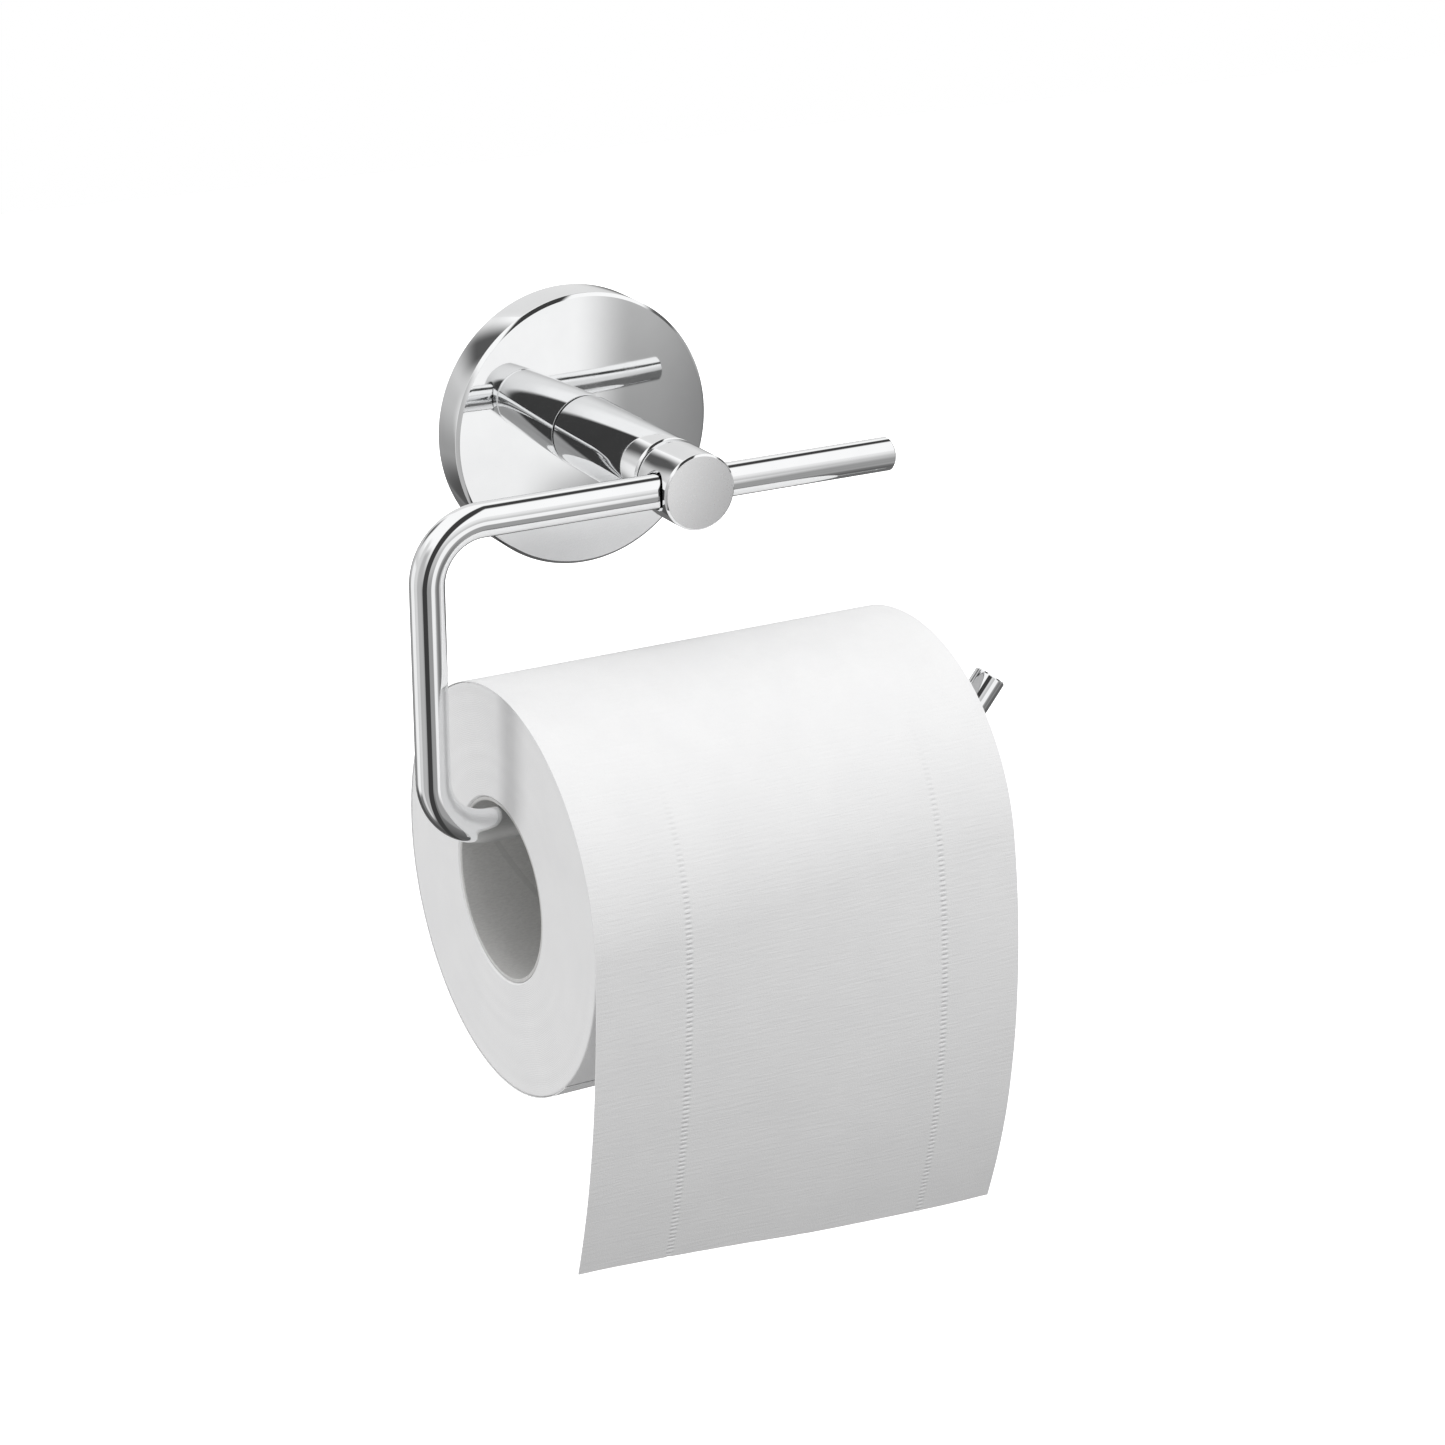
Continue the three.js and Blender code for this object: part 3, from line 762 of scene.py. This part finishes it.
SHEET_T = 0.22
SHEET_GAP = 0.11
SHEET_R = ROLL_R + (SHEET_GAP + SHEET_T / 2)  # the middle of the last turn's thickness
START_DEG = 312  # the last turn starts hidden behind the hanging stretch
LEAVE_DEG = (1.0, 11.0)  # where the sheet leaves the roll, above the front: left and right edge
TAIL_RADIUS = (280.0, 195.0)
TAIL_LENGTH = (84.0, 99.5)
ROWS_OF_TICKS = (0.212, 0.815)  # share of the width
TICK_PITCH = 1.2
TICK_LONG = 0.8  # half of a tick's reach across the web
TICK_DEEP = 0.24
TICK_ROW_HALF = 1.6  # half of the width that a row's fine stations cover
TICK_STEP = 0.27  # along the web between stations that draw the ticks
FINE_TURN_DEG = 70  # the stations are fine from this far round the last turn
TICKS_START = 18.0  # the ticks begin this far into the fine part
TICKS_FADE = 45.0  # and reach full depth this much further on
TORN = 0.06
COCKLE_FROM = 60.0  # the cockle grows to full over this length of tail
COCKLE_WIDE, COCKLE_LONG = 0.25, 0.12


def across_stations():
    """Stations across the web from its left edge: wide steps, and fine ones at the rows of ticks."""
    wide = np.linspace(0, ROLL_WIDTH, 45)
    fine = np.linspace(-TICK_ROW_HALF, TICK_ROW_HALF, 13)
    rows = [share * ROLL_WIDTH + fine for share in ROWS_OF_TICKS]
    clear = np.all([np.abs(wide - share * ROLL_WIDTH) > TICK_ROW_HALF + 0.4 for share in ROWS_OF_TICKS], axis=0)
    return np.sort(np.concatenate([wide[clear], *rows]))


def web_path(across, along):
    """Places (y, z) and outward direction on the web: an arc round the roll, then a wider arc down its tail.

    The direction of travel turns at 1 / radius per millimetre; the tail starts at the leaving angle.
    """
    share = across / ROLL_WIDTH
    ease = share * share * (3 - 2 * share)
    leave = np.radians(LEAVE_DEG[0] + (LEAVE_DEG[1] - LEAVE_DEG[0]) * ease)
    tail_radius = TAIL_RADIUS[0] + (TAIL_RADIUS[1] - TAIL_RADIUS[0]) * ease
    wrap = SHEET_R * (np.radians(START_DEG) - leave)
    on_roll = np.minimum(along, wrap)
    angle = np.radians(START_DEG) - on_roll / SHEET_R
    y = ROD_Y - SHEET_R * np.cos(angle)
    z = ROLL_Z + SHEET_R * np.sin(angle)
    past = np.maximum(along - wrap, 0)
    swing = angle - past / tail_radius
    y = y + tail_radius * (np.cos(angle) - np.cos(swing))
    z = z - tail_radius * (np.sin(angle) - np.sin(swing))
    return y, z, swing, past


def loose_sheet():
    """The last turn and the tail: web_path over a grid, with ticks, a torn edge and a faint cockle.

    A tick is the part above -0.2 of a cosine along the web, times exp(-(distance across / reach)^4).
    """
    across = across_stations()
    longest = SHEET_R * np.radians(START_DEG - LEAVE_DEG[0]) + TAIL_LENGTH[0]
    right_longest = SHEET_R * np.radians(START_DEG - LEAVE_DEG[1]) + TAIL_LENGTH[1]
    fine_from = SHEET_R * np.radians(START_DEG - FINE_TURN_DEG)
    coarse = np.linspace(0, fine_from, 120, endpoint=False)
    share_of_fine = np.linspace(0, 1, int((longest - fine_from) / TICK_STEP))
    x_part = across / ROLL_WIDTH
    length = longest + (right_longest - longest) * x_part
    torn = TORN * soft_noise(across, 11, 9, 1.0, 5.0)
    fine = fine_from + np.multiply.outer(share_of_fine, length + torn - fine_from)
    along = np.concatenate([np.repeat(coarse[:, None], len(across), axis=1), fine])
    wide = np.broadcast_to(across, along.shape)
    y, z, swing, past = web_path(wide, along)
    lift = np.clip(past / COCKLE_FROM, 0, 1)
    slanted = COCKLE_WIDE * lift * soft_noise(wide * 0.12 + along * 0.05, 5)
    cockle = slanted + COCKLE_LONG * lift * soft_noise(along * 0.2, 6)
    tick = np.zeros_like(along)
    depth = np.clip((along - fine_from - TICKS_START) / TICKS_FADE, 0, 1)
    for share in ROWS_OF_TICKS:
        near = np.exp(-(((wide - share * ROLL_WIDTH) / TICK_LONG) ** 4))
        tick += near * np.clip(np.cos(2 * np.pi * along / TICK_PITCH), -0.2, 1)
    off = cockle - TICK_DEEP * depth * tick
    rise = np.stack([np.zeros_like(y), -np.cos(swing), np.sin(swing)], axis=-1)
    middle = np.stack([wide + ROLL_LEFT, y, z], axis=-1) + rise * off[..., None]
    outer = middle + rise * SHEET_T / 2
    inner = middle - rise * SHEET_T / 2
    rows, columns = along.shape
    loop = np.concatenate([outer, inner[:, ::-1]], axis=1)
    width = loop.shape[1]
    faces = grid_faces(rows, width, wrap_columns=True)
    near_end = np.arange(columns - 1)
    caps = []
    for row in (0, rows - 1):
        base = row * width
        far_end = base + width - 1 - near_end
        cap = np.stack([base + near_end, base + near_end + 1, far_end - 1, far_end], axis=-1)
        caps.append(cap if row else cap[:, ::-1])
    made = piece("loose_sheet", loop.reshape(-1, 3), np.concatenate([faces, *caps]))
    flat_x = np.concatenate([wide, wide[:, ::-1]], axis=1).ravel() * MM
    flat_y = np.concatenate([along, along[:, ::-1]], axis=1).ravel() * MM
    # How far each point is darkened by the painted shade in the ticks' dents.
    tick_shade = np.clip(tick, 0, 1) * depth
    marks = made.data.attributes.new("tick_shade", "FLOAT", "POINT")
    marks.data.foreach_set("value", np.concatenate([tick_shade, tick_shade[:, ::-1]], axis=1).ravel())
    layer = made.data.uv_layers.new(name="web")
    corner = np.empty(len(made.data.loops), dtype=np.int32)
    made.data.loops.foreach_get("vertex_index", corner)
    layer.data.foreach_set("uv", np.stack([flat_x[corner], flat_y[corner]], axis=-1).ravel())
    return made, float(np.mean(length)) * MM


web, web_length = loose_sheet()
assign(web, "loose_end", "tissue", ["hanging_sheet"], loose_tissue())


# ---- Studio ----

# Brightness that the polished pieces see, by direction: azimuth from -Y towards +X and elevation, in degrees.
# (azimuth from, to, elevation from, to, softness, brightness), later cards over earlier ones.
CARDS = [
    (148, 181, -2, 42, 6, 0.80),
    (-172, -150, 14, 37, 7, 0.10),
    (-147, -112, -30, 7, 4, 0.95),
    (-112, -88, -60, 40, 6, 0.72),
    (-88, -60, -60, 30, 8, 0.50),
    (-18, 58, -46, -22, 4, 0.36),
    (3, 28, -20, 2, 3, 1.0),
    (3, 23, -26, -16, 3, 0.95),
    (38, 58, -34, 2, 6, 0.20),
    (60, 86, -60, 10, 4, 0.62),
    (86, 110, -60, 10, 5, 0.40),
    (110, 181, -70, -6, 6, 0.16),
    (-181, -140, -70, -24, 5, 0.09),
    (58, 112, -62, -31, 4, 0.13),
    (84, 112, 10, 26, 4, 0.12),
]
# A long dark flag: the band of directions within FLAG_WIDE (at the front) or FLAG_NARROW (behind) of a plane.
FLAG_NORMAL = (-0.792, 0.561, 0.239)
FLAG_WIDE = 0.24
FLAG_NARROW = 0.085
FLAG_SOFT = 0.035
FLAG_TONE = 0.05
FLAG_END = 0.5  # the flag stops where a direction points this far towards the wall
FLAG_END_SOFT = 0.08
FRONT_Y, BACK_Y = -0.75, 0.35  # where along Y the two half-widths hold
# The same without the cards: brightness rising with elevation.
SKY = [(-90, 0.10), (-36, 0.20), (-18, 0.34), (0, 0.56), (23, 0.88), (32, 1.06), (90, 1.06)]
# What everything else sees in direction (x, y, z) is TENT + TENT_UP z - TENT_LEFT x.
TENT = 0.56
TENT_UP = 0.31
TENT_LEFT = 0.04


def window(tree, value, low, high, soft):
    """1 between low and high, falling smoothly to 0 over the softness at both ends."""
    above = ramp(tree, value, low - soft, low + soft)
    below = ramp(tree, value, high + soft, high - soft)
    return maths(tree, "MULTIPLY", above, below)


def flagged(tree, glow, x, y, z):
    """The glow with the flag over it, where |normal . direction| is under a half-width set by y."""
    terms = [maths(tree, "MULTIPLY", part, share) for part, share in zip((x, y, z), FLAG_NORMAL)]
    off = maths(tree, "ABSOLUTE", maths(tree, "ADD", maths(tree, "ADD", terms[0], terms[1]), terms[2]))
    half = ramp(tree, y, FRONT_Y, BACK_Y, FLAG_WIDE, FLAG_NARROW)
    inside = maths(tree, "DIVIDE", maths(tree, "SUBTRACT", half, off), FLAG_SOFT)
    before_end = ramp(tree, y, FLAG_END + FLAG_END_SOFT, FLAG_END)
    mask = maths(tree, "MULTIPLY", ramp(tree, inside, -1.0, 1.0), before_end)
    gap = maths(tree, "SUBTRACT", FLAG_TONE, glow)
    return maths(tree, "ADD", glow, maths(tree, "MULTIPLY", gap, mask))


def studio_world():
    """White for the camera, the cards for polished metal and an even tented light for everything else."""
    world = bpy.data.worlds.new("studio")
    bpy.context.scene.world = world
    world.use_nodes = True
    tree = world.node_tree
    direction = tree.nodes.new("ShaderNodeTexCoord").outputs["Generated"]
    split = node(tree, "ShaderNodeSeparateXYZ", {0: direction})
    x, y, z = split.outputs
    degrees = 180 / math.pi
    away = maths(tree, "MULTIPLY", y, -1.0)
    azimuth = maths(tree, "MULTIPLY", maths(tree, "ARCTAN2", x, away), degrees)
    elevation = maths(tree, "MULTIPLY", maths(tree, "ARCSINE", z), degrees)
    glow = None
    for (low, dark), (high, light) in zip(SKY, SKY[1:]):
        part = ramp(tree, elevation, low, high, 0.0, light - dark)
        glow = maths(tree, "ADD", glow if glow is not None else SKY[0][1], part)
    for west, east, low, high, soft, brightness in CARDS:
        mask = maths(
            tree,
            "MULTIPLY",
            window(tree, azimuth, west, east, soft),
            window(tree, elevation, low, high, soft),
        )
        gap = maths(tree, "SUBTRACT", brightness, glow)
        glow = maths(tree, "ADD", glow, maths(tree, "MULTIPLY", gap, mask))
    glow = flagged(tree, glow, x, y, z)
    upward = maths(tree, "MULTIPLY", z, TENT_UP)
    leftward = maths(tree, "MULTIPLY", x, -TENT_LEFT)
    tent = maths(tree, "ADD", maths(tree, "ADD", upward, leftward), TENT)
    rays = tree.nodes.new("ShaderNodeLightPath")
    shiny = rays.outputs["Is Glossy Ray"]
    seen = rays.outputs["Is Camera Ray"]
    lit = node(tree, "ShaderNodeMix", {0: shiny, 2: tent, 3: glow}).outputs[0]
    strength = node(tree, "ShaderNodeMix", {0: seen, 2: lit, 3: 1.0}).outputs[0]
    tree.links.new(strength, tree.nodes["Background"].inputs["Strength"])
    tree.nodes["Background"].inputs["Color"].default_value = (1, 1, 1, 1)


studio_world()


def soft_light(name, spot, target, size, watts):
    """A square soft light that the polished pieces don't mirror."""
    data = bpy.data.lights.new(name, "AREA")
    data.size = size
    data.energy = watts
    lamp = bpy.data.objects.new(name, data)
    lamp.location = spot
    lamp.rotation_euler = (Vector(target) - Vector(spot)).to_track_quat("-Z", "Y").to_euler()
    lamp.visible_glossy = False
    bpy.context.scene.collection.objects.link(lamp)


ROLL_CENTRE = (0.005, ROD_Y * MM, ROLL_Z * MM)
soft_light("front_light", (0.005, -0.66, 0.95), ROLL_CENTRE, 0.5, 4.6)
soft_light("side_light", (-0.86, 0.32, 0.02), ROLL_CENTRE, 0.3, 1.9)


FLOOR_HALF_WIDTH, FLOOR_Z = 6.0, -1.3  # in metres


def pale_floor():
    """A wide pale floor well below the holder, seen by the camera only."""
    side, depth = FLOOR_HALF_WIDTH, FLOOR_Z
    mesh = bpy.data.meshes.new("floor")
    floor_corners = [(-side, -side, depth), (side, -side, depth), (side, side, depth), (-side, side, depth)]
    mesh.from_pydata(floor_corners, [], [(0, 1, 2, 3)])
    floor = bpy.data.objects.new("floor", mesh)
    bpy.context.scene.collection.objects.link(floor)
    made = bpy.data.materials.new("pale_floor")
    made.use_nodes = True
    shader = made.node_tree.nodes["Principled BSDF"]
    shader.inputs["Base Color"].default_value = (0.9, 0.9, 0.9, 1)
    shader.inputs["Emission Color"].default_value = (1, 1, 1, 1)
    shader.inputs["Emission Strength"].default_value = 1.0
    mesh.materials.append(made)
    floor.visible_glossy = False
    floor.visible_diffuse = False
    floor.visible_shadow = False


pale_floor()


# ---- Camera ----

def camera():
    """A long lens, a little to the left and above, looking at the middle of the holder and its roll."""
    target = Vector((0.016307, -0.050, -0.065118))
    distance = 0.811852
    azimuth, elevation = math.radians(-29.176), math.radians(21.066)
    back = Vector(
        (
            math.sin(azimuth) * math.cos(elevation),
            -math.cos(azimuth) * math.cos(elevation),
            math.sin(elevation),
        )
    )
    data = bpy.data.cameras.new("camera")
    data.sensor_width = 36
    data.lens = 84.33
    data.clip_start = 0.05
    data.clip_end = 30
    made = bpy.data.objects.new("camera", data)
    made.location = target + back * distance
    made.rotation_euler = (-back).to_track_quat("-Z", "Y").to_euler()
    bpy.context.scene.collection.objects.link(made)
    bpy.context.scene.camera = made


camera()
bpy.context.scene.view_settings.view_transform = "Standard"
